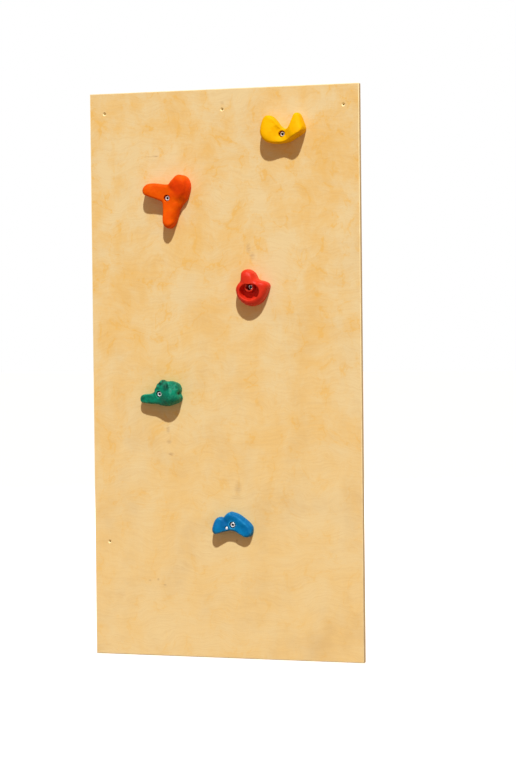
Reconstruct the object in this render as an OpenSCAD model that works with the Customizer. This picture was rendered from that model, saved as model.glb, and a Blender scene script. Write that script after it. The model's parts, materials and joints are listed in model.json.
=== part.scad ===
// Rock climbing wall: a plywood panel that is screwed to a wall, with five
// coloured resin holds. Each hold is clamped by a socket cap screw that runs
// through a washer, the hold and the panel into a T-nut let in from behind.
//
// Frame: the origin is the middle of the sheet's bottom edge. X runs along the
// width, Z goes up, and the climbing face looks toward -Y.

/* [Panel] */
// width of the plywood sheet
panel_w = 755; // [600:1:950]
// height of the plywood sheet
panel_h = 1520; // [1200:1:1900]
// thickness of the plywood sheet
panel_t = 18; // [15:0.5:25]
// rounding of every edge and corner of the sheet
arris_r = 2; // [1:0.25:4]

/* [Wall screw holes] */
// outer holes, in from each side edge
screw_side = 42; // [30:1:60]
// top row, down from the top edge
screw_top = 55; // [40:1:80]
// low hole, up from the bottom edge
screw_low = 306; // [200:1:400]
// diameter of the through holes
screw_hole_d = 5; // [4:0.5:7]
// diameter of the countersinks at the climbing face
screw_sink_d = 10.4; // [8:0.2:12]

/* [Hold fixings] */
// thread diameter of the cap screws
thread_d = 8; // [8:0.5:10]
// diameter of a cap screw's head
head_d = 13; // [12:0.5:15]
// height of a cap screw's head
head_h = 8; // [6:0.5:9]
// key size of the hexagon sockets, across flats
hex_af = 6; // [5:0.5:7]
// depth of the hexagon sockets
hex_deep = 4.6; // [4.2:0.1:5.5]
// how far a washer stands out past the head, all round
washer_over = 1.5; // [1:0.25:3]
// thickness of the washers
washer_t = 1.6; // [1:0.1:2]
// room between a washer and the sunk bore it lies in, all round
recess_gap = 1; // [0.5:0.25:3]
// how far a cap screw's tip stops short of the back face
tip_short = 1; // [0.5:0.5:3]
// wall of a T-nut's barrel outside the thread
barrel_wall = 1.1; // [0.8:0.1:2]
// length of a T-nut, flange included
tnut_len = 12; // [9:0.5:14]
// diameter of a T-nut's flange
flange_d = 22; // [18:0.5:26]
// thickness of a T-nut's flange
flange_t = 1.5; // [1:0.1:2]

/* [Seats] */
// height of the yellow hold's washer seat above the panel
yellow_seat = 11.4; // [8:0.1:24]
// height of the orange hold's washer seat
orange_seat = 16.4; // [8:0.1:24]
// height of the red hold's washer seat
red_seat = 6.4; // [5:0.1:24]
// height of the green hold's washer seat
green_seat = 21.4; // [8:0.1:28]
// height of the blue hold's washer seat
blue_seat = 16.4; // [8:0.1:24]

/* [Red pocket] */
// half height of the hollow that the fingers go in
pocket_r = 18; // [14:0.5:19]
// how far the hollow's round ends stand apart
pocket_long = 15; // [8:1:18]
// height of the hollow's floor above the panel
pocket_floor = 13; // [10:0.5:18]
// wall of the boss that stands in the hollow around the cap screw
boss_wall = 4; // [3:0.5:5]
// how far the boss stands higher than the cap screw's head
boss_over = 14; // [2:0.5:16]

/* [Locking screw of the blue hold] */
// diameter of its shank
lock_d = 4; // [3:0.5:5]
// diameter of its head
lock_head_d = 7.6; // [6:0.2:9]
// how deep it goes into the panel
lock_deep = 13; // [8:0.5:14]

/* [Hidden] */
half_t = panel_t / 2;
eps = 0.01;
run = 0.1;                // radial running clearance of thread in nut
bore_d = thread_d + 0.8;  // clearance hole through each hold
washer_d = head_d + 2 * washer_over;
recess_d = washer_d + 2 * recess_gap;
barrel_d = thread_d + 2 * barrel_wall;
boss_d = recess_d + 2 * boss_wall;
boss_h = red_seat + washer_t + head_h + boss_over;
sink_deep = (screw_sink_d - screw_hole_d) / 2;   // 90 degree countersink
hex_d = hex_af / cos(30);
flange_gap = 0.5;         // flange below the back face
flange_sink = flange_t + flange_gap;
drill_d = barrel_d + 0.3; // hole in the panel for the barrel and the thread
flange_room = 0.6;        // the flange's seat is wider than the flange by this
prong_n = 4;
prong_w = 3;
prong_t = 0.9;
prong_len = 7;
prong_at = flange_d / 2 - prong_t;
lock_head_h = 2.8;
lock_seat = 25;           // height of the locking screw's seat
lock_off = [-17, -9];     // from the blue cap screw
// rings of a hold's body, as shares of the way from its middle out to its rim
ring = [1, 0.999, 0.996, 0.99, 0.98, 0.965, 0.94, 0.9, 0.85, 0.78, 0.68, 0.55, 0.4, 0.22];
span = 3;                 // outline steps between two given points

// where each cap screw goes through the panel: [x, z]
yellow_at = [174, panel_h - 128];
orange_at = [-148, panel_h - 288];
red_at = [80, panel_h - 529];
green_at = [-175, 708];
blue_at = [26, 360];
holds_at = [yellow_at, orange_at, red_at, green_at, blue_at];
screws_at = [
    [-panel_w / 2 + screw_side, panel_h - screw_top],
    [0, panel_h - screw_top],
    [panel_w / 2 - screw_side, panel_h - screw_top],
    [-panel_w / 2 + screw_side, screw_low]
];

$fn = 48;

// A frame on the climbing face: local Z points out of the wall, Y up.
module on_face(at) {
    translate([at[0], -half_t, at[1]]) rotate([90, 0, 0]) children();
}

// A frame on the back face: local Z points into the wall, Y up.
module on_back(at) {
    translate([at[0], half_t, at[1]]) rotate([90, 0, 0]) children();
}

// ---- hold bodies: a closed outline lofted up to a hilly top ----

// point on a smooth closed curve through the points p
function along(p, i, t) =
    let (n = len(p), a = p[(i + n - 1) % n], b = p[i], c = p[(i + 1) % n],
        d = p[(i + 2) % n])
    (2 * b + (c - a) * t + (2 * a - 5 * b + 4 * c - d) * t * t
        + (3 * b - a - 3 * c + d) * t * t * t) / 2;
function smooth(p) = [for (i = [0:len(p) - 1], k = [0:span - 1]) along(p, i, k / span)];

// height of the top over [x, y]: a level plus round hills [x, y, height, spread]
function hill(h, q) =
    h[2] * exp(-((q[0] - h[0]) * (q[0] - h[0]) + (q[1] - h[1]) * (q[1] - h[1]))
        / (2 * h[3] * h[3]));
function total(h, q, i = 0) = i == len(h) ? 0 : hill(h[i], q) + total(h, q, i + 1);
function lift(level, hills, q) = level + total(hills, q);

// square: how boxy the side is seen from the front. edge: how sharp the rim is
module hold_body(points, middle, level, hills, square = 8, edge = 5) {
    rim = smooth(points);
    n = len(rim);
    k = len(ring);
    rows = [for (j = [0:k - 1], p = rim)
        let (q = middle + (p - middle) * ring[j])
        [q[0], q[1], pow(1 - pow(ring[j], square), 1 / edge) * lift(level, hills, q)]];
    tip = [middle[0], middle[1], lift(level, hills, middle)];
    foot = [middle[0], middle[1], 0];
    polyhedron(concat(rows, [tip, foot]), concat(
        [for (i = [0:n - 1]) [k * n + 1, i, (i + 1) % n]],
        [for (j = [0:k - 2], i = [0:n - 1]) [j * n + i, (j + 1) * n + i, j * n + (i + 1) % n]],
        [for (j = [0:k - 2], i = [0:n - 1])
            [j * n + (i + 1) % n, (j + 1) * n + i, (j + 1) * n + (i + 1) % n]],
        [for (i = [0:n - 1]) [(k - 1) * n + i, k * n, (k - 1) * n + (i + 1) % n]]));
}

// the bore through a hold and the wide recess over its washer seat
module bolt_way(seat) {
    translate([0, 0, -1]) cylinder(d = bore_d, h = seat + 2);
    translate([0, 0, seat]) cylinder(d = recess_d, h = 80);
}

// ---- nodes ----

// the sheet seen along one axis, as a rectangle with round corners
module rounded(w, h) {
    square([w - 2 * arris_r, h], center = true);
    square([w, h - 2 * arris_r], center = true);
    for (x = [-1, 1], y = [-1, 1])
        translate([x * (w / 2 - arris_r), y * (h / 2 - arris_r)]) circle(arris_r);
}

module plywood_panel() {
    color("BurlyWood") difference() {
        intersection() {
            translate([0, half_t, panel_h / 2]) rotate([90, 0, 0])
                linear_extrude(panel_t) rounded(panel_w, panel_h);
            linear_extrude(panel_h) rounded(panel_w, panel_t);
            translate([-panel_w / 2, 0, panel_h / 2]) rotate([90, 0, 90])
                linear_extrude(panel_w) rounded(panel_t, panel_h);
        }
        for (at = screws_at) on_back(at) {
            translate([0, 0, -1]) cylinder(d = screw_hole_d, h = panel_t + 2);
            translate([0, 0, panel_t - sink_deep])
                cylinder(d1 = screw_hole_d, d2 = screw_sink_d + 2, h = sink_deep + 1);
        }
        for (at = holds_at) on_back(at) {
            translate([0, 0, -1]) cylinder(d = drill_d, h = panel_t + 2);
            translate([0, 0, -1]) cylinder(d = flange_d + flange_room, h = flange_sink + 1);
            prongs();
        }
        on_face(blue_at + lock_off)
            translate([0, 0, -lock_deep - 0.5]) cylinder(d = lock_d, h = lock_deep + 1);
    }
}

module hold_yellow() {
    color("Gold") on_face(yellow_at) difference() {
        hold_body([[60, 8], [54, 34], [45, 53], [34, 54], [26, 36], [18, 18], [7, 14],
            [-6, 21], [-19, 38], [-33, 50], [-47, 49], [-56, 34], [-60, 6], [-50, -14], [-32, -23],
            [-8, -24], [14, -21], [36, -10]],
            [12, -10], 33, [[-48, -6, 10, 26], [48, -8, 19, 22], [2, 2, -12, 13]], 12, 7);
        bolt_way(yellow_seat);
    }
}

module hold_orange() {
    color("OrangeRed") on_face(orange_at) difference() {
        hold_body([[60, 29], [52, 54], [32, 62], [17, 50], [2, 38], [-14, 38], [-40, 41],
            [-60, 38], [-70, 24], [-66, 11], [-50, 4], [-31, -3], [-16, -11], [-13, -33],
            [-13, -56], [-11, -72], [1, -81], [14, -72], [23, -52], [29, -31], [38, -18],
            [51, -2]],
            [4, 2], 30, [[-70, 22, 12, 28], [4, -80, 10, 30], [46, 50, 18, 26]], 12, 6);
        bolt_way(orange_seat);
    }
}

module hold_red() {
    color("Crimson") on_face(red_at) difference() {
        union() {
            difference() {
                hold_body([[51, -2], [47, 11], [35, 16], [20, 21], [11, 38], [-7, 48],
                    [-22, 41], [-25, 19], [-37, 3], [-39, -11], [-32, -29], [-20, -42],
                    [-3, -50], [18, -47], [36, -33]],
                    [0, -7], 40, [[-6, 35, 2, 18]], 6, 4);
                red_pocket();
            }
            cylinder(d = boss_d, h = boss_h);
        }
        bolt_way(red_seat);
    }
}

// the finger hollow: a long bowl with a round floor
module red_pocket() {
    r = 7;   // rounding of its floor
    translate([2.3, -12, pocket_floor]) {
        for (p = [[-1, 0], [0, -2.5], [1, 0]]) translate([p[0] * pocket_long / 2, p[1], 0])
            rotate_extrude() intersection() {
                bowl_side(r);
                square([pocket_r + 20, 60]);
            }
        rotate([90, 0, 90]) translate([0, 0, -pocket_long / 2])
            linear_extrude(pocket_long) bowl_side(r);
    }
}

// the hollow's section, a little wider at its mouth
module bowl_side(r) {
    translate([-pocket_r + r, 0]) square([2 * (pocket_r - r), 60]);
    for (x = [-1, 1]) translate([x * (pocket_r - r), r]) circle(r);
    polygon([[-pocket_r, r], [pocket_r, r], [pocket_r + 6, 60], [-pocket_r - 6, 60]]);
}

module hold_green() {
    color("SeaGreen") on_face(green_at) difference() {
        hold_body([[56, -11], [52, 1], [54, 13], [47, 27], [29, 34], [11, 34], [2, 38],
            [-8, 28], [-16, 15], [-21, 5], [-32, 0], [-54, -2], [-60, -11], [-57, -22],
            [-34, -26], [-8, -28], [8, -33], [26, -31], [50, -22]],
            [4, 0], 32, [[32, -8, 18, 18], [-50, -10, -5, 16], [0, 28, 3, 12]], 9, 5);
        bolt_way(green_seat);
    }
}

module hold_blue() {
    color("DodgerBlue") on_face(blue_at) difference() {
        hold_body([[51, -9], [44, 3], [31, 14], [14, 26], [-3, 32], [-13, 33], [-22, 26],
            [-31, 18], [-41, 19], [-50, 14], [-57, -2], [-59, -17], [-51, -26], [-33, -21],
            [-11, -17], [4, -19], [18, -26], [34, -34], [48, -28]],
            [0, 0], 28, [[-52, -12, 9, 17], [40, -14, -3, 14]], 10, 5);
        bolt_way(blue_seat);
        translate(lock_off) {
            cylinder(d = lock_d + 0.6, h = 80);
            translate([0, 0, lock_seat]) cylinder(d = lock_head_d + 1, h = 80);
        }
    }
}

module washer(at, seat) {
    color("Silver") on_face(at) translate([0, 0, seat]) difference() {
        cylinder(d = washer_d, h = washer_t);
        translate([0, 0, -1]) cylinder(d = thread_d + 0.4, h = washer_t + 2);
    }
}

// A cap screw. Its thread is a plain cylinder with running clearance in the nut.
module bolt(at, seat) {
    under = seat + washer_t;   // underside of the head
    reach = panel_t - tip_short;
    color("LightSteelBlue") on_face(at) difference() {
        union() {
            translate([0, 0, under]) cylinder(d = head_d, h = head_h);
            translate([0, 0, -reach]) cylinder(d = thread_d - 2 * run, h = reach + under + eps);
        }
        translate([0, 0, under + head_h - hex_deep])
            cylinder(d = hex_d, h = hex_deep + 1, $fn = 6);
    }
}

// four points that bite into the wood
module prongs() {
    for (i = [0:prong_n - 1]) rotate(45 + i * 90)
        translate([prong_at, -prong_w / 2, flange_sink - eps])
            cube([prong_t, prong_w, prong_len]);
}

module t_nut(at) {
    color("Gainsboro") on_back(at) difference() {
        union() {
            translate([0, 0, flange_gap]) cylinder(d = flange_d, h = flange_t);
            translate([0, 0, flange_gap]) cylinder(d = barrel_d, h = tnut_len);
            prongs();
        }
        translate([0, 0, -1]) cylinder(d = thread_d, h = tnut_len + 3);
    }
}

module lock_screw_blue() {
    color("White") on_face(blue_at + lock_off) difference() {
        union() {
            translate([0, 0, lock_seat]) cylinder(d = lock_head_d, h = lock_head_h);
            translate([0, 0, -lock_deep]) cylinder(d = lock_d - 0.1, h = lock_deep + lock_seat + eps);
        }
        translate([0, 0, lock_seat + 1.4]) for (a = [0, 90]) rotate(a)
            translate([-2.2, -0.5, 0]) cube([4.4, 1, 3]);
    }
}

module washer_yellow() { washer(yellow_at, yellow_seat); }
module washer_orange() { washer(orange_at, orange_seat); }
module washer_red() { washer(red_at, red_seat); }
module washer_green() { washer(green_at, green_seat); }
module washer_blue() { washer(blue_at, blue_seat); }
module bolt_yellow() { bolt(yellow_at, yellow_seat); }
module bolt_orange() { bolt(orange_at, orange_seat); }
module bolt_red() { bolt(red_at, red_seat); }
module bolt_green() { bolt(green_at, green_seat); }
module bolt_blue() { bolt(blue_at, blue_seat); }
module t_nut_yellow() { t_nut(yellow_at); }
module t_nut_orange() { t_nut(orange_at); }
module t_nut_red() { t_nut(red_at); }
module t_nut_green() { t_nut(green_at); }
module t_nut_blue() { t_nut(blue_at); }

plywood_panel();
hold_yellow();
hold_orange();
hold_red();
hold_green();
hold_blue();
washer_yellow();
washer_orange();
washer_red();
washer_green();
washer_blue();
bolt_yellow();
bolt_orange();
bolt_red();
bolt_green();
bolt_blue();
t_nut_yellow();
t_nut_orange();
t_nut_red();
t_nut_green();
t_nut_blue();
lock_screw_blue();
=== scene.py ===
# A plywood climbing panel with five cast resin holds, each clamped by a cap screw.
# The holds are sculpted from the frame's own solids, so they keep place and size.
import json
from math import cos, pi, radians, sin, tau

import bmesh
import bpy
import numpy as np
from mathutils import Matrix, Vector, noise


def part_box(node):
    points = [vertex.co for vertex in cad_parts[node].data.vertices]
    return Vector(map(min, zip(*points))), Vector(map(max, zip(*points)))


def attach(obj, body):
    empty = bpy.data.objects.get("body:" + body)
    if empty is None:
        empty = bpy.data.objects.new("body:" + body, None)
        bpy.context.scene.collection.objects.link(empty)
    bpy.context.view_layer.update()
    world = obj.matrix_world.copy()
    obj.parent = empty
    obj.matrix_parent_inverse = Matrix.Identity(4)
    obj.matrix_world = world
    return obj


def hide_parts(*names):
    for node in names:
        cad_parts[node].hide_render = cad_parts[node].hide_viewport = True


mm = 0.001
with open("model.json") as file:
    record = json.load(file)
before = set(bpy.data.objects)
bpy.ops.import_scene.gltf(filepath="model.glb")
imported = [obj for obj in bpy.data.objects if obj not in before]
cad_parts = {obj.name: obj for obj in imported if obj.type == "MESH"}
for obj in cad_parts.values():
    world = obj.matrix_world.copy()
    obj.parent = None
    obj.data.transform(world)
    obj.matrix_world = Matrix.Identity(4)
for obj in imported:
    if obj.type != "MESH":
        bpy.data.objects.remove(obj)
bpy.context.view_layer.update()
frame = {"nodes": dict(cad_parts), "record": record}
sheetLow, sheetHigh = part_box("plywood_panel")
frontY, backY = sheetLow.y, sheetHigh.y      # the climbing face looks toward -Y
colourNames = ["yellow", "orange", "red", "green", "blue"]
bodyOf = {node: body for body, nodes in frame["record"]["behaviour"]["bodies"].items()
          for node in nodes}
print("frame loaded")


# inputs: a plain value sets the socket, a socket is linked to it
def addNode(tree, kind, inputs=(), **settings):
    made = tree.nodes.new("ShaderNode" + kind)
    for key, value in settings.items():
        setattr(made, key, value)
    for key, value in dict(inputs).items():
        if isinstance(value, bpy.types.NodeSocket):
            tree.links.new(value, made.inputs[key])
        else:
            made.inputs[key].default_value = value
    return made


def mathNode(tree, operation, a, b=0.0, clamp=False):
    return addNode(tree, "Math", {0: a, 1: b}, operation=operation, use_clamp=clamp).outputs[0]


def times(tree, a, b, clamp=False):
    return mathNode(tree, "MULTIPLY", a, b, clamp)


def plus(tree, a, b, clamp=False):
    return mathNode(tree, "ADD", a, b, clamp)


def minus(tree, a, b):
    return mathNode(tree, "SUBTRACT", a, b)


# the value going from low to high gives 0 to 1
def fade(tree, value, low, high):
    return addNode(tree, "MapRange", {0: value, 1: low, 2: high},
                   interpolation_type="SMOOTHSTEP").outputs[0]


def mixColour(tree, factor, a, b):
    return addNode(tree, "Mix", {0: factor, 6: a, 7: b}, data_type="RGBA").outputs[2]


def noiseNode(tree, vector, scale, detail=2.0, rough=0.5):
    return addNode(tree, "TexNoise", {"Vector": vector, "Scale": scale, "Detail": detail,
                                      "Roughness": rough}).outputs[0]


def stretched(tree, vector, stretch):
    return addNode(tree, "VectorMath", {0: vector, 1: stretch}, operation="MULTIPLY").outputs[0]


# distance from a point, each axis stretched by its own number; 0 leaves an axis out
def lengthFrom(tree, place, point, stretch):
    away = addNode(tree, "VectorMath", {0: place, 1: point}, operation="SUBTRACT").outputs[0]
    return addNode(tree, "VectorMath", {0: stretched(tree, away, stretch)},
                   operation="LENGTH").outputs["Value"]


# a new shader group: a None input is a vector, the others are numbers
def newGroup(name, inputs, outputs):
    tree = bpy.data.node_groups.new(name, "ShaderNodeTree")
    for socket, value in inputs.items():
        kind = "NodeSocketVector" if value is None else "NodeSocketFloat"
        made = tree.interface.new_socket(socket, in_out="INPUT", socket_type=kind)
        if value is not None:
            made.default_value = value
    for socket in outputs:
        tree.interface.new_socket(socket, in_out="OUTPUT", socket_type="NodeSocketFloat")
    return tree, tree.nodes.new("NodeGroupInput").outputs, tree.nodes.new("NodeGroupOutput").inputs


def useGroup(tree, group, inputs):
    return addNode(tree, "Group", inputs, node_tree=group).outputs


# a material with its Principled BSDF; settings are plain socket values
def newMaterial(name, **settings):
    material = bpy.data.materials.new(name)
    material.use_nodes = True
    tree = material.node_tree
    shader = tree.nodes["Principled BSDF"]
    for key, value in settings.items():
        shader.inputs[key.replace("_", " ")].default_value = value
    place = addNode(tree, "TexCoord").outputs["Object"]
    return material, tree, shader, place


def bumpInto(tree, shader, height, depth):
    made = addNode(tree, "Bump", {"Height": height, "Distance": depth, "Strength": 1.0})
    tree.links.new(made.outputs[0], shader.inputs["Normal"])


# fine uneven grain: Height for a bump, Mottle for slow changes of shade
def makeGrainGroup():
    tree, given, result = newGroup("fineGrain", {"Vector": None, "Size": 1.2, "Mottle Size": 14.0},
                                   ["Height", "Mottle"])
    # a size in mm turned into the scale of a noise in metres
    sizes = {key: mathNode(tree, "DIVIDE", 1 / mm, given[key]) for key in ("Size", "Mottle Size")}
    coarse = noiseNode(tree, given["Vector"], sizes["Size"], 3.0, 0.65)
    fine = noiseNode(tree, given["Vector"], times(tree, sizes["Size"], 3.7), 2.0)
    slow = noiseNode(tree, given["Vector"], sizes["Mottle Size"], 4.0, 0.6)
    tree.links.new(plus(tree, times(tree, coarse, 0.6), times(tree, fine, 0.4)), result["Height"])
    tree.links.new(slow, result["Mottle"])
    return tree


# where a surface is rubbed bright, and where its hollows are darkened by dirt and painted shade, from the
# mesh's own relief in mm
def makeWearAndShadeGroup():
    tree, given, result = newGroup("edgeWearAndShade", {"Vector": None, "Relief": 0.0, "Reach": 0.8,
                                                "Patch Size": 6.0}, ["Rub", "DirtAndShade"])
    patch = noiseNode(tree, given["Vector"], mathNode(tree, "DIVIDE", 1 / mm, given["Patch Size"]), 5.0, 0.7)
    uneven = times(tree, minus(tree, patch, 0.5), 1.6)
    share = plus(tree, mathNode(tree, "DIVIDE", given["Relief"], given["Reach"]), uneven)
    tree.links.new(fade(tree, share, 0.35, 1.15), result["Rub"])
    # hollows darkened: dirt and painted shade in creases and recesses
    tree.links.new(fade(tree, times(tree, share, -1.0), 0.2, 1.3), result["DirtAndShade"])
    return tree


fineGrain = makeGrainGroup()
edgeWearAndShade = makeWearAndShadeGroup()


# both groups in one material, with its own sizes in mm
def useGrainWearAndShade(tree, place, look, wearReach):
    grain = useGroup(tree, fineGrain, {"Vector": place, "Size": look["grainSize"],
                                       "Mottle Size": look["mottleSize"]})
    relief = addNode(tree, "Attribute", attribute_name="relief").outputs["Fac"]
    wearAndShade = useGroup(tree, edgeWearAndShade, {"Vector": place, "Relief": relief, "Reach": wearReach,
                                     "Patch Size": look["patchSize"]})
    return grain, wearAndShade


# what every hold's skin shares: its sand, and how far its roughness strays
resin = {"grainSize": 1.1, "mottleSize": 22.0, "patchSize": 7.0, "grainDeep": 0.4 * mm, "uneven": 0.08}


# cast resin: an even colour with sandy grain, paler where hands and shoes rub it, darker in hollows from dirt
# and painted shade
def makeResin(colour, look, middle):
    material, tree, shader, place = newMaterial(
        "castResin_" + colour, Roughness=look["roughness"], Specular_IOR_Level=look["gloss"])
    grain, wearAndShade = useGrainWearAndShade(tree, place, resin, look["wearReach"])
    tone = mixColour(tree, fade(tree, grain["Mottle"], 0.3, 0.7), look["deep"], look["colour"])
    # pours of another colour, and patches of painted shade on the orange arm and in the red pocket: right and
    # up from the screw and reach in mm, strength
    for right, up, reach, strength in look["poursAndShadePatches"]:
        centre = (middle[0] + right * mm, 0.0, middle[2] + up * mm)
        away = lengthFrom(tree, place, centre, (1.0, 0.0, 1.0))
        ragged = plus(tree, away, times(tree, grain["Mottle"], reach * mm))
        near = fade(tree, ragged, reach * 1.9 * mm, reach * 0.9 * mm)
        tone = mixColour(tree, times(tree, near, strength), tone, look["pourAndShadeTone"])
    # darker in hollows toward the shade colour: dirt and painted shade
    tone = mixColour(tree, times(tree, wearAndShade["DirtAndShade"], look["dirtAndShade"]), tone, look["shade"])
    tone = mixColour(tree, times(tree, wearAndShade["Rub"], look["rub"]), tone, look["worn"])
    tree.links.new(tone, shader.inputs["Base Color"])
    rough = plus(tree, look["roughness"] - resin["uneven"], times(tree, grain["Height"], 2 * resin["uneven"]))
    tree.links.new(rough, shader.inputs["Roughness"])
    bumpInto(tree, shader, grain["Height"], resin["grainDeep"])
    return material


resinLooks = {
    "yellow": {
        "colour": (0.86, 0.48, 0.0, 1), "deep": (0.82, 0.42, 0.0, 1), "shade": (0.60, 0.24, 0.0, 1),
        "worn": (0.92, 0.58, 0.0, 1), "pourAndShadeTone": (0.78, 0.36, 0.0, 1), "poursAndShadePatches": [(44, 8, 12, 0.6)],
        "roughness": 0.6, "gloss": 0.05, "wearReach": 1.6, "dirtAndShade": 0.5, "rub": 0.5},
    # the orange pour is painted shade: the upper-right arm made redder, as where less light falls
    "orange": {
        "colour": (0.78, 0.110, 0.0, 1), "deep": (0.74, 0.080, 0.0, 1), "shade": (0.42, 0.02, 0.0, 1),
        "worn": (0.88, 0.19, 0.004, 1), "pourAndShadeTone": (0.92, 0.060, 0.004, 1), "poursAndShadePatches": [(38, 28, 28, 0.75)],
        "roughness": 0.6, "gloss": 0.06, "wearReach": 1.4, "dirtAndShade": 0.3, "rub": 0.5},
    # the red pour is painted shade: the pocket darkened inside
    "red": {
        "colour": (0.68, 0.034, 0.011, 1), "deep": (0.62, 0.024, 0.008, 1), "shade": (0.22, 0.004, 0.002, 1),
        "worn": (0.80, 0.08, 0.03, 1), "pourAndShadeTone": (0.42, 0.010, 0.005, 1), "poursAndShadePatches": [(2, -12, 12, 0.5)],
        "roughness": 0.42, "gloss": 0.17, "wearReach": 1.6, "dirtAndShade": 0.7, "rub": 0.5},
    "green": {
        "colour": (0.0, 0.225, 0.13, 1), "deep": (0.0, 0.125, 0.075, 1), "shade": (0.0, 0.035, 0.02, 1),
        "worn": (0.02, 0.36, 0.21, 1), "pourAndShadeTone": (0.0, 0.05, 0.03, 1),
        "poursAndShadePatches": [(4, 29, 9, 0.9), (20, 20, 11, 0.8), (-50, -8, 8, 0.5), (20, -22, 9, 0.5),
                  (44, -10, 8, 0.4)],
        "roughness": 0.46, "gloss": 0.14, "wearReach": 0.8, "dirtAndShade": 1.0, "rub": 0.6},
    "blue": {
        "colour": (0.0, 0.18, 0.45, 1), "deep": (0.0, 0.125, 0.35, 1), "shade": (0.0, 0.045, 0.17, 1),
        "worn": (0.03, 0.30, 0.58, 1), "pourAndShadeTone": (0.0, 0.10, 0.30, 1), "poursAndShadePatches": [(-22, 2, 14, 0.5)],
        "roughness": 0.5, "gloss": 0.08, "wearReach": 1.0, "dirtAndShade": 0.8, "rub": 0.8},
}

steel = {"grainSize": 0.35, "mottleSize": 5.0, "wearReach": 0.25, "patchSize": 1.5, "dirtAndShade": 0.6,
         "dirtAndShadeTone": 0.35, "uneven": 0.2, "grainDeep": 0.04 * mm}


# plated steel: brushed a little, dull where it is handled
def makeSteel(name, colour, dull, roughness):
    material, tree, shader, place = newMaterial(name, Metallic=1.0)
    grain, wearAndShade = useGrainWearAndShade(tree, place, steel, steel["wearReach"])
    tone = mixColour(tree, fade(tree, grain["Mottle"], 0.35, 0.7), dull, colour)
    # darker in hollows: dirt and painted shade in threads, grooves and sockets
    tone = mixColour(tree, times(tree, wearAndShade["DirtAndShade"], steel["dirtAndShade"]), tone,
                     [part * steel["dirtAndShadeTone"] for part in dull[:3]] + [1])
    tree.links.new(tone, shader.inputs["Base Color"])
    rough = plus(tree, roughness, times(tree, grain["Mottle"], steel["uneven"]))
    tree.links.new(rough, shader.inputs["Roughness"])
    bumpInto(tree, shader, grain["Height"], steel["grainDeep"])
    return material


brightZinc = makeSteel("brightZinc", (0.90, 0.90, 0.91, 1), (0.72, 0.73, 0.75, 1), 0.3)
whiteZinc = makeSteel("whiteZinc", (0.96, 0.96, 0.97, 1), (0.88, 0.88, 0.89, 1), 0.42)
platedSteel = makeSteel("platedSteel", (0.62, 0.62, 0.63, 1), (0.42, 0.42, 0.43, 1), 0.34)
# a near-black steel for the key's socket: painted shade
paintedShadeSocket = makeSteel("paintedShadeSocket", (0.10, 0.10, 0.11, 1), (0.04, 0.04, 0.045, 1), 0.5)

birch = {
    "pale": (0.785, 0.64, 0.340, 1), "amber": (0.785, 0.510, 0.150, 1), "pore": (0.52, 0.30, 0.10, 1),
    "raw": (0.90, 0.77, 0.43, 1), "endGrain": (0.52, 0.33, 0.15, 1), "glue": (0.20, 0.11, 0.05, 1),
    "mark": (0.30, 0.16, 0.08, 1),
    "plies": 13,
    # how much of the amber shows, and how strongly it flames at the foot and at the top
    "amberShare": 0.36, "flameLow": 0.42, "flameHigh": 1.15,
    # how dark the fibres, the fine grain and the pores are, and the soiling at the foot and at the top
    "fibreShade": 0.14, "grainShade": 0.10, "poreShade": 0.22, "soilLow": 0.16, "soilHigh": 0.04,
    # the sawn edges: how dark end grain and glue lines are against long grain
    "endShade": 0.45, "glueShade": 0.5,
    # depth of the bumps on the faces, the sawn edges and the cuts
    "faceDeep": 0.12 * mm, "edgeDeep": 0.25 * mm, "cutDeep": 0.2 * mm,
    # dark marks on the climbing face: x, z, half width, half height in mm, strength
    "marks": [(-191, 1347, 9, 2.2, 0.75), (-205, 1346, 16, 1.4, 0.35), (70, 1094, 6, 12, 0.35),
              (80, 1074, 7, 9, 0.35), (-163, 612, 5, 9, 0.4), (-160, 578, 7, 5, 0.35),
              (-155, 545, 7, 4, 0.5), (34, 456, 9, 16, 0.28), (30, 432, 16, 6, 0.25),
              (29, 314, 1.6, 4, 0.8), (-220, 203, 4, 2, 0.5), (-196, 206, 3, 3, 0.5),
              (-177, 191, 4, 2, 0.5), (1, 1482, 5, 4, 0.3)],
}


# rotary-cut birch: Figure is the slow cloudy pattern, Flame its thin curling lines,
# Pore the short dark dashes, Fibre the long threads
def makeFigureGroup():
    tree, given, result = newGroup("birchFigure", {"Vector": None}, ["Figure", "Flame", "Pore", "Fibre"])
    drift = addNode(tree, "TexNoise", {"Vector": given["Vector"], "Scale": 6.0, "Detail": 3.0})
    away = addNode(tree, "VectorMath", {0: drift.outputs[1], 1: (0.5, 0.5, 0.5)}, operation="SUBTRACT")
    away = stretched(tree, away.outputs[0], (0.10, 0.0, 0.12))
    bent = addNode(tree, "VectorMath", {0: given["Vector"], 1: away}, operation="ADD").outputs[0]
    broad = noiseNode(tree, stretched(tree, bent, (5.0, 9.0, 4.2)), 1.0, 2.0, 0.5)
    small = noiseNode(tree, stretched(tree, bent, (20.0, 30.0, 17.0)), 1.0, 7.0, 0.7)
    cloud = plus(tree, times(tree, broad, 0.5), times(tree, small, 0.5))
    curl = noiseNode(tree, stretched(tree, bent, (11.0, 9.0, 9.0)), 1.0, 4.0, 0.55)
    line = fade(tree, mathNode(tree, "ABSOLUTE", minus(tree, curl, 0.5)), 0.022, 0.0)
    dashes = noiseNode(tree, stretched(tree, bent, (110.0, 60.0, 1500.0)), 1.0, 2.0, 0.6)
    threads = noiseNode(tree, stretched(tree, bent, (16.0, 40.0, 420.0)), 1.0, 4.0, 0.65)
    tree.links.new(fade(tree, cloud, 0.34, 0.68), result["Figure"])
    tree.links.new(times(tree, line, fade(tree, small, 0.42, 0.62)), result["Flame"])
    tree.links.new(fade(tree, dashes, 0.60, 0.78), result["Pore"])
    tree.links.new(threads, result["Fibre"])
    return tree


birchFigure = makeFigureGroup()


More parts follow.
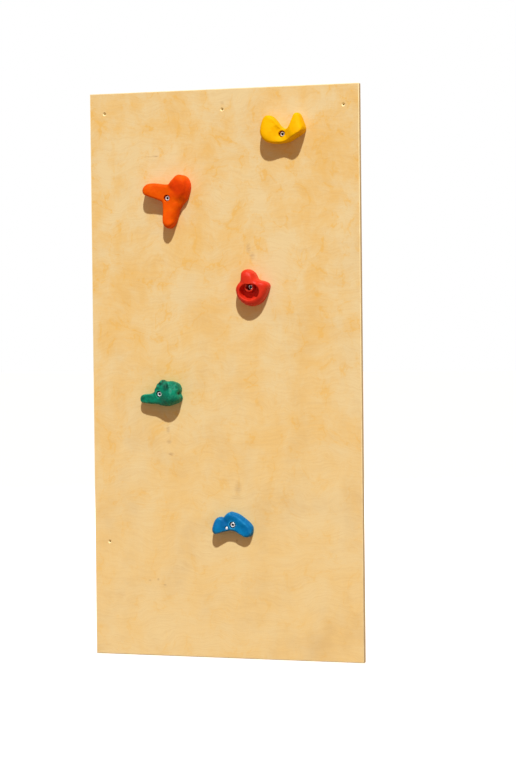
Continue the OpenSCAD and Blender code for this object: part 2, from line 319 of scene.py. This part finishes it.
# the sheet's two faces: horizontal grain under a satin coat, with its marks
def makeFace():
    material, tree, shader, place = newMaterial("birchFace", Roughness=0.5, Specular_IOR_Level=0.35)
    figure = useGroup(tree, birchFigure, {"Vector": place})
    grain = useGroup(tree, fineGrain, {"Vector": place, "Size": 3.0, "Mottle Size": 160.0})
    where = addNode(tree, "SeparateXYZ", {0: place})
    rise = fade(tree, where.outputs["Z"], sheetLow.z, sheetHigh.z)
    strong = plus(tree, birch["flameLow"], times(tree, rise, birch["flameHigh"] - birch["flameLow"]))
    cloud = plus(tree, minus(tree, figure["Figure"], 0.5), times(tree, figure["Flame"], 0.5))
    share = plus(tree, birch["amberShare"], times(tree, cloud, strong), clamp=True)
    tone = mixColour(tree, share, birch["pale"], birch["amber"])
    for shade, strength in ((fade(tree, figure["Fibre"], 0.4, 0.7), birch["fibreShade"]),
                            (fade(tree, grain["Height"], 0.45, 0.7), birch["grainShade"]),
                            (figure["Pore"], birch["poreShade"])):
        tone = mixColour(tree, times(tree, shade, strength), tone, birch["pore"])
    soil = minus(tree, birch["soilLow"], times(tree, rise, birch["soilLow"] - birch["soilHigh"]))
    soil = times(tree, fade(tree, grain["Mottle"], 0.45, 0.75), soil)
    tone = mixColour(tree, soil, tone, birch["mark"])
    total = 0.0
    for x, z, wide, high, strength in birch["marks"]:
        reach = lengthFrom(tree, place, (x * mm, frontY, z * mm), (1 / (wide * mm), 0.0, 1 / (high * mm)))
        total = plus(tree, total, times(tree, fade(tree, reach, 1.6, 0.1), strength))
    front = mathNode(tree, "LESS_THAN", where.outputs["Y"], 0.0)
    ragged = times(tree, fade(tree, figure["Fibre"], 0.25, 0.6), times(tree, total, front), clamp=True)
    tone = mixColour(tree, ragged, tone, birch["mark"])
    tree.links.new(tone, shader.inputs["Base Color"])
    height = minus(tree, times(tree, grain["Height"], 0.4), times(tree, figure["Pore"], 0.6))
    bumpInto(tree, shader, height, birch["faceDeep"])
    return material


# the sawn edges: plies that show long grain and end grain in turn, with dark glue lines
def makeEdge():
    material, tree, shader, place = newMaterial("birchEdge", Roughness=0.7, Specular_IOR_Level=0.2)
    where = addNode(tree, "SeparateXYZ", {0: place})
    level = times(tree, minus(tree, where.outputs["Y"], frontY), birch["plies"] / (backY - frontY))
    ply, inPly = mathNode(tree, "FLOOR", level), mathNode(tree, "FRACT", level)
    # the top and bottom edges cut the plies the other way from the two sides
    facing = addNode(tree, "SeparateXYZ", {0: addNode(tree, "TexCoord").outputs["Normal"]})
    upright = mathNode(tree, "GREATER_THAN", mathNode(tree, "ABSOLUTE", facing.outputs["Z"]), 0.5)
    even = minus(tree, 1.0, mathNode(tree, "MODULO", ply, 2.0))
    ends = mathNode(tree, "ABSOLUTE", minus(tree, upright, even))
    spread = addNode(tree, "CombineXYZ", {0: where.outputs["X"], 1: times(tree, ply, 0.37),
                                          2: where.outputs["Z"]}).outputs[0]
    broad = noiseNode(tree, spread, 14.0, 4.0, 0.6)
    fibre = noiseNode(tree, stretched(tree, place, (500.0, 1500.0, 500.0)), 1.0, 3.0, 0.6)
    tone = mixColour(tree, fade(tree, broad, 0.3, 0.7), birch["raw"], birch["pale"])
    endTone = mixColour(tree, fade(tree, fibre, 0.35, 0.7), birch["endGrain"], birch["pore"])
    tone = mixColour(tree, times(tree, ends, birch["endShade"]), tone, endTone)
    line = fade(tree, mathNode(tree, "ABSOLUTE", minus(tree, inPly, 0.5)), 0.42, 0.49)
    tone = mixColour(tree, times(tree, line, birch["glueShade"]), tone, birch["glue"])
    tree.links.new(tone, shader.inputs["Base Color"])
    bumpInto(tree, shader, minus(tree, times(tree, fibre, 0.5), times(tree, line, 0.6)), birch["edgeDeep"])
    return material


# freshly cut wood in the drilled holes and along the eased arrises
def makeCut():
    material, tree, shader, place = newMaterial("birchCut", Roughness=0.75, Specular_IOR_Level=0.1)
    grain = useGroup(tree, fineGrain, {"Vector": place, "Size": 0.9, "Mottle Size": 20.0})
    tone = mixColour(tree, fade(tree, grain["Mottle"], 0.35, 0.75), birch["raw"], birch["pale"])
    tree.links.new(tone, shader.inputs["Base Color"])
    bumpInto(tree, shader, grain["Height"], birch["cutDeep"])
    return material


birchFace, birchEdge, birchCut = makeFace(), makeEdge(), makeCut()
print("materials ready")


def newObject(name, data):
    made = bpy.data.objects.new(name, data)
    bpy.context.collection.objects.link(made)
    return made


def smoothShade(mesh, angle):
    mesh.shade_smooth()
    mesh.set_sharp_from_angle(angle=radians(angle))


# a piece that stands for a CAD node: same body, the materials it is given, and the node hidden
def addPiece(name, mesh, node, *materials):
    piece = newObject(name, mesh)
    mesh.materials.clear()
    for material in materials:
        mesh.materials.append(material)
    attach(piece, bodyOf[node])
    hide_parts(node)
    return piece


# the box of a fixing that runs along Y, and the x, z and radius of its axis
def fixingBox(node):
    low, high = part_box(node)
    return low, high, (low.x + high.x) / 2, (low.z + high.z) / 2, (high.x - low.x) / 2


# the mesh after its modifiers, without the object
def settle(piece):
    graph = bpy.context.evaluated_depsgraph_get()
    mesh = bpy.data.meshes.new_from_object(piece.evaluated_get(graph))
    bpy.data.objects.remove(piece)
    return mesh


def looseCopy(node):
    source = frame["nodes"][node]
    mesh = source.data.copy()
    mesh.transform(source.matrix_world)
    shape = bmesh.new()
    shape.from_mesh(mesh)
    bmesh.ops.remove_doubles(shape, verts=shape.verts, dist=0.00001)
    shape.to_mesh(mesh)
    shape.free()
    return newObject("loose", mesh)


def meshFrom(name, verts, faces):
    mesh = bpy.data.meshes.new(name)
    mesh.from_pydata([tuple(v) for v in verts], [], faces)
    shape = bmesh.new()
    shape.from_mesh(mesh)
    bmesh.ops.recalc_face_normals(shape, faces=shape.faces)
    shape.to_mesh(mesh)
    shape.free()
    return mesh


def cutAway(piece, cutterMesh):
    cutter = newObject("cutter", cutterMesh)
    cut = piece.modifiers.new("cut", "BOOLEAN")
    cut.operation, cut.solver, cut.object = "DIFFERENCE", "EXACT", cutter
    mesh = settle(piece)
    bpy.data.objects.remove(cutter)
    return mesh


# how far each vertex moves toward its neighbours' middle; weight 0 holds it still
def relax(points, edges, weight, rounds):
    count = np.bincount(edges.ravel(), minlength=len(points))[:, None]
    for _ in range(rounds):
        total = np.zeros_like(points)
        for axis in range(3):
            total[:, axis] = (
                np.bincount(edges[:, 0], points[edges[:, 1], axis], len(points))
                + np.bincount(edges[:, 1], points[edges[:, 0], axis], len(points)))
        points = points + weight[:, None] * (total / np.maximum(count, 1) - points)
    return points


def readArrays(mesh):
    points = np.empty(len(mesh.vertices) * 3)
    mesh.vertices.foreach_get("co", points)
    edges = np.empty(len(mesh.edges) * 2, dtype=np.int64)
    mesh.edges.foreach_get("vertices", edges)
    return points.reshape(-1, 3), edges.reshape(-1, 2)


def normalsOf(mesh, points):
    mesh.vertices.foreach_set("co", points.ravel())
    mesh.update()
    normals = np.empty(len(points) * 3)
    mesh.vertex_normals.foreach_get("vector", normals)
    return normals.reshape(-1, 3)


# stores how far each point stands out of its smoothed surroundings, in mm
def storeRelief(mesh, rounds):
    points, edges = readArrays(mesh)
    normals = normalsOf(mesh, points)
    around = relax(points, edges, np.full(len(points), 0.6), rounds)
    relief = ((points - around) * normals).sum(1) / mm
    mesh.attributes.new("relief", "FLOAT", "POINT").data.foreach_set("value", relief)


# distance of each point from the line between two points
def fromLine(points, start, end):
    start, end = np.array(start, float), np.array(end, float)
    along = end - start
    length = max((along ** 2).sum(), 1e-9)
    share = np.clip(((points - start) @ along) / length, 0, 1)
    return np.linalg.norm(points - start - share[:, None] * along, axis=1)


# Places on a hold are in mm from its screw on the panel: right, up, out of the wall.
# A stroke runs from a point to a point and moves the surface by push within its reach.
# A press runs the same way and lowers the surface by a share of its height.
holdLooks = {
    "yellow": {
        "rounding": 14, "softening": 14, "uneven": 0.5, "presses": [],
        "strokes": [((30, 42, 34), (22, 4, 30), -1.2, 6), ((-22, 30, 36), (-8, 12, 30), -1.0, 6),
                    ((62, 4, 34), (10, -25, 30), -1.2, 11)]},
    "orange": {
        "rounding": 8, "softening": 8, "uneven": 0.5,
        "presses": [((58, 2), (45, -14), 0.2, 11), ((45, -14), (24, -58), 0.38, 12)],
        "strokes": [((2, 34, 30), (14, 20, 32), -1.6, 6), ((-14, -10, 30), (-6, -6, 31), -1.2, 6),
                    ((36, -16, 28), (26, -10, 31), -1.4, 6), ((18, 44, 34), (30, 20, 36), 0.9, 7),
                    ((64, 36, 38), (55, 4, 30), -4.0, 10)]},
    "red": {
        "rounding": 6, "softening": 3, "uneven": 0.4, "presses": [],
        "strokes": [((14, 30, 34), (22, 14, 40), -1.8, 6), ((-26, 14, 34), (-14, 12, 38), -1.2, 5)]},
    "green": {
        "rounding": 3, "softening": 2, "uneven": 1.1, "presses": [],
        "strokes": [((-8, 28, 34), (8, 30, 35), -2.4, 4), ((16, 34, 28), (22, 20, 36), -1.8, 4),
                    ((30, 32, 30), (44, 8, 40), -1.4, 3.5), ((54, 2, 18), (38, -3, 40), -2.6, 5),
                    ((-22, 6, 24), (-10, -8, 30), -1.6, 5), ((26, 28, 36), (34, 4, 44), 1.3, 5),
                    ((-34, -2, 26), (-52, -8, 24), 0.9, 5), ((8, -32, 20), (14, -14, 36), -1.3, 5),
                    ((-2, 33, 28), (2, 24, 34), -2.0, 4), ((-13, 20, 28), (-4, 14, 33), -1.4, 4),
                    ((36, -28, 24), (44, -12, 38), -1.0, 4)]},
    "blue": {
        "rounding": 3, "softening": 3, "uneven": 0.6, "presses": [],
        "strokes": [((12, 28, 25), (34, 13, 25), -3.2, 5), ((34, 13, 25), (51, -8, 23), -3.2, 5),
                    ((-30, 18, 24), (-18, 6, 30), -1.8, 6), ((-12, -16, 24), (6, -18, 24), -1.0, 5),
                    ((0, 20, 28), (34, -4, 28), 0.8, 7)]},
}
# what all holds share: the radii of their recess and bore, the height of the foot on the panel,
# the size of their slow unevenness
cast = {"voxel": 1.1 * mm, "recess": 9.0, "bore": 4.4, "foot": 1.2, "roundWeight": 0.55,
        "softWeight": 0.5, "wobbleSize": 17.0, "sharpAngle": 50, "reliefRounds": 30}


def toWorld(spots, middle):
    return spots[:, [0, 2, 1]] * (1, -1, 1) * mm + middle


def holdNormals(mesh, spots, middle):
    return normalsOf(mesh, toWorld(spots, middle))[:, [0, 2, 1]] * (1, 1, -1)


# turns the voxels' steps back into a round recess and bore with a flat seat between them
def trueRecess(spots, across, seat):
    recess = (np.abs(across - cast["recess"]) < 0.9) & (spots[:, 2] > seat + 0.4)
    bore = (np.abs(across - cast["bore"]) < 0.9) & (spots[:, 2] < seat - 0.4)
    for chosen, radius in ((recess, cast["recess"]), (bore, cast["bore"])):
        spots[chosen, :2] *= (radius / np.hypot(*spots[chosen, :2].T))[:, None]
    onSeat = (across < cast["recess"] - 0.5) & (np.abs(spots[:, 2] - seat) < 0.8)
    spots[onSeat, 2] = seat


def makeHold(colour, look):
    node = "hold_" + colour
    x, z = fixingBox("bolt_" + colour)[2:4]
    middle = np.array([x, frontY, z])
    seat = (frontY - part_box("washer_" + colour)[1].y) / mm
    piece = looseCopy(node)
    remesh = piece.modifiers.new("cast", "REMESH")
    remesh.mode, remesh.voxel_size = "VOXEL", cast["voxel"]
    mesh = settle(piece)
    points, edges = readArrays(mesh)
    spots = ((points - middle) / mm)[:, [0, 2, 1]] * (1, 1, -1)
    # free is 0 in the recess and bore, little at the foot, and 1 where the surface may move
    across = np.hypot(spots[:, 0], spots[:, 1])
    free = np.clip((across - cast["recess"] - 0.6) / 3.0, 0.0, 1.0)
    free *= np.clip((spots[:, 2] - cast["foot"]) / 2.0, 0.12, 1.0)
    spots = relax(spots, edges, cast["roundWeight"] * free, look["rounding"])
    trueRecess(spots, across, seat)
    for start, end, share, reach in look["presses"]:
        near = np.exp(-(fromLine(spots[:, :2], start, end) / reach) ** 2)
        spots[:, 2] *= 1 - share * near * free
    for start, end, push, reach in look["strokes"]:
        near = np.exp(-(fromLine(spots, start, end) / reach) ** 2)
        spots = spots + holdNormals(mesh, spots, middle) * (near * push * free)[:, None]
        # the recess's lip follows the surface around it
        lip = (across < cast["recess"] + 0.6) & (spots[:, 2] > seat + 3)
        spots[lip, 2] += near[lip] * push * np.clip((spots[lip, 2] - seat - 3) / 6, 0, 1)
    spots = relax(spots, edges, cast["softWeight"] * free, look["softening"])
    wobble = np.array([noise.fractal(Vector(spot) / cast["wobbleSize"], 0.8, 2.1, 3) for spot in spots])
    spots = spots + holdNormals(mesh, spots, middle) * (wobble * look["uneven"] * free)[:, None]
    spots[spots[:, 2] < 0.7, 2] = 0.0      # flat on the panel
    normalsOf(mesh, toWorld(spots, middle))
    smoothShade(mesh, cast["sharpAngle"])
    storeRelief(mesh, cast["reliefRounds"])
    return addPiece("cast_hold_" + colour, mesh, node, makeResin(colour, resinLooks[colour], middle))


for colour in colourNames:
    made = makeHold(colour, holdLooks[colour])
    print("hold", colour, len(made.data.polygons))


# rings of (y, radius) around a line along Y; a radius can be one number or one per segment
def turned(name, x, z, rings, segments, ends=None):
    angles = np.arange(segments) * tau / segments
    verts, faces = [], []
    for y, radius in rings:
        radius = np.broadcast_to(radius, segments)
        verts += list(zip(x + radius * np.cos(angles), np.full(segments, y), z + radius * np.sin(angles)))
    last = len(rings) if ends is None else len(rings) - 1
    for ring in range(last):
        low, high = ring * segments, (ring + 1) % len(rings) * segments
        faces += [(low + i, low + (i + 1) % segments, high + (i + 1) % segments, high + i)
                  for i in range(segments)]
    if ends is not None:
        top = (len(rings) - 1) * segments
        for start, y in ((0, ends[0]), (top, ends[1])):
            verts.append((x, y, z))
            faces += [(start + i, start + (i + 1) % segments, len(verts) - 1) for i in range(segments)]
    return meshFrom(name, verts, faces)


# headTop: the head's outline from the knurling to its top, as mm below the top and mm inside the rim
screwLook = {"segments": 72, "pitch": 1.25 * mm, "threadDepth": 0.68 * mm, "threadLong": 22 * mm,
             "tipBevel": 0.9 * mm, "shank": 3.9 * mm, "steps": 8, "headHigh": 8 * mm,
             "knurl": 0.22 * mm, "headTop": [(1.2, 0.2), (0.7, 0.25), (0.25, 0.6), (0.0, 1.2)],
             "keySize": 6 * mm, "socketDeep": 4.2 * mm, "mouth": 4.3 * mm, "mouthDeep": 1.1 * mm}


# a screw thread's rings from the tip up: the crest runs round with the angle
def threadRings(tipY, long, outer, pitch, depth, steps, segments, bevel):
    angles = np.arange(segments) / segments
    rings = [(tipY, outer - bevel)]
    for step in range(1, int(long / pitch * steps)):
        up = step * pitch / steps
        share = (up / pitch - angles) % 1.0
        cut = np.clip(np.abs(share - 0.5) * 3.2 - 0.35, 0, 1)
        fadeOut = min(1.0, (long - up) / (2 * pitch))
        tipCut = max(0.0, bevel - up)
        rings.append((tipY - up, np.minimum(outer - depth * cut * fadeOut, outer - tipCut)))
    return rings


def makeScrew(colour):
    low, high, x, z, headR = fixingBox("bolt_" + colour)
    look = screwLook
    segments = look["segments"]
    angles = np.arange(segments) * tau / segments
    under = low.y + look["headHigh"]
    rings = threadRings(high.y, look["threadLong"], look["shank"], look["pitch"], look["threadDepth"],
                        look["steps"], segments, look["tipBevel"])
    knurled = headR - look["knurl"] * (np.arange(segments) % 2)
    hexagon = look["keySize"] / 2 / np.cos(angles % (pi / 3) - pi / 6)
    rings += [(under + 0.25 * mm, look["shank"]), (under, look["shank"] + 0.2 * mm),
              (under, headR - 0.5 * mm), (under - 0.3 * mm, headR - 0.2 * mm),
              (under - 0.5 * mm, knurled), (low.y + 1.5 * mm, knurled)]
    rings += [(low.y + below * mm, headR - inside * mm) for below, inside in look["headTop"]]
    rings += [(low.y, look["mouth"]), (low.y + look["mouthDeep"], hexagon),
              (low.y + look["socketDeep"] * 0.5, hexagon), (low.y + look["socketDeep"], hexagon)]
    mesh = turned("screw", x, z, rings, segments, (high.y, low.y + look["socketDeep"] + 0.4 * mm))
    made = addPiece("cap_screw_" + colour, mesh, "bolt_" + colour, brightZinc, paintedShadeSocket)
    # the key's socket gets a near-black steel, painted shade in the socket
    for face in mesh.polygons:
        inside = (face.center.x - x) ** 2 + (face.center.z - z) ** 2 < (look["keySize"] * 0.6) ** 2
        face.material_index = int(inside and low.y + look["mouthDeep"] < face.center.y < under)
    smoothShade(mesh, 35)
    storeRelief(mesh, 4)
    return made


washerLook = {"segments": 96, "inner": 4.2 * mm, "soft": 0.3 * mm}


def makeWasher(colour):
    low, high, x, z, outer = fixingBox("washer_" + colour)
    inner, soft, third = washerLook["inner"], washerLook["soft"], washerLook["soft"] / 3
    rings = [(high.y, outer - soft), (high.y - third, outer - third), (high.y - soft, outer),
             (low.y + soft, outer), (low.y + third, outer - third), (low.y, outer - soft * 1.4),
             (low.y, inner + soft), (low.y + soft, inner), (high.y - soft, inner), (high.y, inner + soft)]
    mesh = turned("washer", x, z, rings, washerLook["segments"])
    smoothShade(mesh, 35)
    storeRelief(mesh, 3)
    return addPiece("plain_washer_" + colour, mesh, "washer_" + colour, platedSteel)


# notchWide is in degrees; prongShape is shares of the prong's length and width from root to tip
nutLook = {"segments": 96, "barrel": 5.1 * mm, "bore": 4.0 * mm, "steps": 41, "flangeThick": 1.5 * mm,
           "notchDeep": 1.3 * mm, "notchWide": 11, "prongs": 4, "prongWide": 3 * mm,
           "prongThick": 0.9 * mm, "prongLong": 7 * mm, "prongRoot": 0.3 * mm,
           "prongShape": [(0.0, 1.0), (0.12, 1.0), (0.75, 0.7), (1.0, 0.12)]}


def makeNut(colour):
    low, high, x, z, flange = fixingBox("t_nut_" + colour)
    look = nutLook
    segments = look["segments"]
    turns = np.arange(segments) / segments
    # the rim is nipped beside each prong, where the prong was bent out of it
    offProng = 45 - np.abs((np.arange(segments) * 360.0 / segments - 45) % 90 - 45)
    nip = np.clip(1.6 - offProng / look["notchWide"], 0, 1) * look["notchDeep"]
    nip = np.where(offProng < 7.5, look["notchDeep"] * 0.35, nip)
    rim = flange - nip
    under = high.y - look["flangeThick"]
    outer, bore = look["barrel"], look["bore"]
    rings = [(low.y + 0.3 * mm, outer - 0.3 * mm), (low.y + 1.2 * mm, outer), (under - 0.4 * mm, outer),
             (under, outer + 0.4 * mm), (under, rim - 0.4 * mm), (under + 0.3 * mm, rim),
             (high.y - 0.5 * mm, rim), (high.y - 0.15 * mm, rim - 0.15 * mm), (high.y, rim - 0.6 * mm),
             (high.y, bore + 1.3 * mm), (high.y - 0.1 * mm, bore + 0.9 * mm)]
    long = high.y - low.y
    # the thread in the bore, from the flange down
    for step in range(1, look["steps"]):
        down = long * step / look["steps"]
        share = (down / screwLook["pitch"] + turns) % 1.0
        crest = np.clip(1 - np.abs(share - 0.5) * 3.0, 0, 1)
        rings.append((high.y - down, bore + 0.35 * mm - 0.3 * mm * crest))
    rings.append((low.y + 0.3 * mm, bore + 0.6 * mm))
    mesh = turned("nut", x, z, rings, segments)
    shape = bmesh.new()
    shape.from_mesh(mesh)
    for index in range(look["prongs"]):
        turn = radians(45 + 90 * index)
        outwards, sideways = Vector((cos(turn), 0, sin(turn))), Vector((-sin(turn), 0, cos(turn)))
        corners = []
        for share, wide in look["prongShape"]:
            y = under + look["prongRoot"] - share * (look["prongLong"] + look["prongRoot"])
            for offset, side in ((0, -1), (0, 1), (1, 1), (1, -1)):
                reach = flange - 0.02 * mm - look["prongThick"] * (1 - offset)
                place = Vector((x, y, z)) + outwards * reach
                corners.append(shape.verts.new(place + sideways * side * wide * look["prongWide"] / 2))
        for base in range(0, len(corners) - 4, 4):
            for i in range(4):
                shape.faces.new([corners[base + i], corners[base + (i + 1) % 4],
                                 corners[base + 4 + (i + 1) % 4], corners[base + 4 + i]])
        shape.faces.new(corners[:4])
        shape.faces.new(corners[-4:])
    bmesh.ops.recalc_face_normals(shape, faces=shape.faces)
    shape.to_mesh(mesh)
    shape.free()
    smoothShade(mesh, 35)
    storeRelief(mesh, 3)
    return addPiece("tee_nut_" + colour, mesh, "t_nut_" + colour, platedSteel)


for colour in colourNames:
    makeScrew(colour)
    makeWasher(colour)
    makeNut(colour)
print("fixings made")

# the cross is wider at its mouth than at its bottom
lockLook = {"segments": 64, "headHigh": 2.8 * mm, "headRim": 0.9 * mm, "domeSteps": 8,
            "shank": 1.95 * mm, "pitch": 1.8 * mm, "threadDepth": 0.6 * mm, "steps": 8,
            "crossLong": 4.4 * mm, "crossWide": 1.0 * mm, "crossDeep": 1.4 * mm,
            "crossMouth": 1.15, "crossBottom": 0.72}


def makeLockScrew():
    low, high, x, z, headR = fixingBox("lock_screw_blue")
    look = lockLook
    under = low.y + look["headHigh"]
    rings = threadRings(high.y, high.y - under - 2 * mm, look["shank"], look["pitch"],
                        look["threadDepth"], look["steps"], look["segments"], look["shank"] - 0.3 * mm)
    rim = under - look["headRim"]
    rings += [(under + 0.3 * mm, look["shank"]), (under, look["shank"] + 0.4 * mm),
              (under, headR - 0.3 * mm), (under - 0.3 * mm, headR), (rim, headR)]
    for step in range(1, look["domeSteps"]):
        turn = step / look["domeSteps"] * pi / 2
        rings.append((rim - (look["headHigh"] - look["headRim"]) * sin(turn), headR * cos(turn) ** 0.7))
    mesh = turned("lock", x, z, rings, look["segments"], (high.y, low.y))
    half, wide = look["crossLong"] / 2, look["crossWide"] / 2
    cross = [(wide, wide), (wide, half), (-wide, half), (-wide, wide), (-half, wide), (-half, -wide),
             (-wide, -wide), (-wide, -half), (wide, -half), (wide, -wide), (half, -wide), (half, wide)]
    verts = []
    for y, size in ((low.y - 1 * mm, look["crossMouth"]), (low.y + look["crossDeep"], look["crossBottom"])):
        verts += [(x + right * size, y, z + up * size) for right, up in cross]
    count = len(cross)
    faces = [(i, (i + 1) % count, count + (i + 1) % count, count + i) for i in range(count)]
    faces += [tuple(range(count)), tuple(range(count, 2 * count))]
    mesh = cutAway(newObject("loose", mesh), meshFrom("cross", verts, faces))
    smoothShade(mesh, 30)
    storeRelief(mesh, 3)
    return addPiece("lock_screw", mesh, "lock_screw_blue", whiteZinc)


makeLockScrew()


def boxMesh(low, high):
    shape = bmesh.new()
    bmesh.ops.create_cube(shape, size=1.0)
    for corner in shape.verts:
        for axis in range(3):
            corner.co[axis] = (low, high)[corner.co[axis] > 0][axis]
    mesh = bpy.data.meshes.new("box")
    shape.to_mesh(mesh)
    shape.free()
    return mesh


# gaps in the core plies that open at the sawn edges: side (+1 right, -1 left), ply, z, length in mm
coreGaps = [(1, 5, 525, 27), (1, 3, 1509, 8), (1, 7, 1083, 9), (-1, 5, 880, 14)]


def makeSheet():
    piece = looseCopy("plywood_panel")
    thick = (backY - frontY) / birch["plies"]
    for side, ply, z, long in coreGaps:
        edgeX = sheetHigh.x if side > 0 else sheetLow.x
        low = (edgeX - 4 * mm, frontY + ply * thick, (z - long / 2) * mm)
        high = (edgeX + 4 * mm, frontY + (ply + 1) * thick, (z + long / 2) * mm)
        piece = newObject("loose", cutAway(piece, boxMesh(low, high)))
    mesh = piece.data
    bpy.data.objects.remove(piece)
    made = addPiece("birch_sheet", mesh, "plywood_panel", birchFace, birchEdge, birchCut)
    flat = set()
    for face in mesh.polygons:
        level = max(abs(part) for part in face.normal) > 0.99999
        if level:
            flat.update(face.edge_keys)
        # faces, sawn edges, and everything that was rounded or drilled
        face.material_index = 2 if not level else 0 if abs(face.normal.y) > 0.6 else 1
    smoothShade(mesh, 40)
    # the flat sides stay flat up to their rounded arris
    sharp = mesh.attributes["sharp_edge"].data
    for edge in mesh.edges:
        if edge.key in flat:
            sharp[edge.index].value = True
    return made


makeSheet()
print("sheet made")

# roll and sunAngle are in degrees, lens is in mm, places and floor sizes are in metres;
# fill is the room's light on surfaces and gloss is the room seen in their shine
studio = {"camera": (1.8974, -5.6364, 0.9092), "aim": (0.0929, -0.0090, 0.7472), "roll": -0.616,
          "lens": 105.68, "sun": (0.33, -1.0, 1.28), "sunPower": 3.72, "sunAngle": 2.0,
          "backLight": (-2.2, 4.5, 3.0), "backPower": 130.0, "backWide": 3.0,
          "fill": (0.41, 0.272, 0.19, 1), "gloss": (0.38, 0.38, 0.38, 1), "backdrop": (1, 1, 1, 1),
          "floor": (0.93, 0.93, 0.93, 1), "floorReach": 30, "floorTop": -0.0005, "floorBottom": -0.05}


def makeStudio():
    camera = newObject("camera", bpy.data.cameras.new("camera"))
    camera.location = studio["camera"]
    aim = Vector(studio["aim"])
    facing = (aim - Vector(studio["camera"])).to_track_quat("-Z", "Y").to_matrix().to_4x4()
    camera.rotation_euler = (facing @ Matrix.Rotation(radians(studio["roll"]), 4, "Z")).to_euler()
    camera.data.lens, camera.data.sensor_width = studio["lens"], 36
    camera.data.clip_end = 200
    bpy.context.scene.camera = camera
    sun = newObject("sun", bpy.data.lights.new("sun", "SUN"))
    sun.rotation_euler = Vector(studio["sun"]).to_track_quat("Z", "Y").to_euler()
    sun.data.energy, sun.data.angle = studio["sunPower"], radians(studio["sunAngle"])
    soft = newObject("backLight", bpy.data.lights.new("backLight", "AREA"))
    soft.location = studio["backLight"]
    soft.rotation_euler = (Vector(studio["backLight"]) - aim).to_track_quat("Z", "Y").to_euler()
    soft.data.energy, soft.data.size = studio["backPower"], studio["backWide"]
    world = bpy.context.scene.world or bpy.data.worlds.new("world")
    bpy.context.scene.world = world
    world.use_nodes = True
    sky = world.node_tree.nodes["Background"]
    path = addNode(world.node_tree, "LightPath").outputs
    glow = mixColour(world.node_tree, path["Is Glossy Ray"], studio["fill"], studio["gloss"])
    glow = mixColour(world.node_tree, path["Is Camera Ray"], glow, studio["backdrop"])
    world.node_tree.links.new(glow, sky.inputs["Color"])
    reach = studio["floorReach"]
    floor = newObject("floor", boxMesh((-reach, -reach, studio["floorBottom"]),
                                       (reach, reach, studio["floorTop"])))
    floor.data.materials.append(newMaterial("paleFloor", Base_Color=studio["floor"], Roughness=0.9)[0])
    floor.visible_diffuse = False      # the fill alone lights the wall from below
    bpy.context.scene.view_settings.view_transform = "Standard"


makeStudio()
print("studio set")
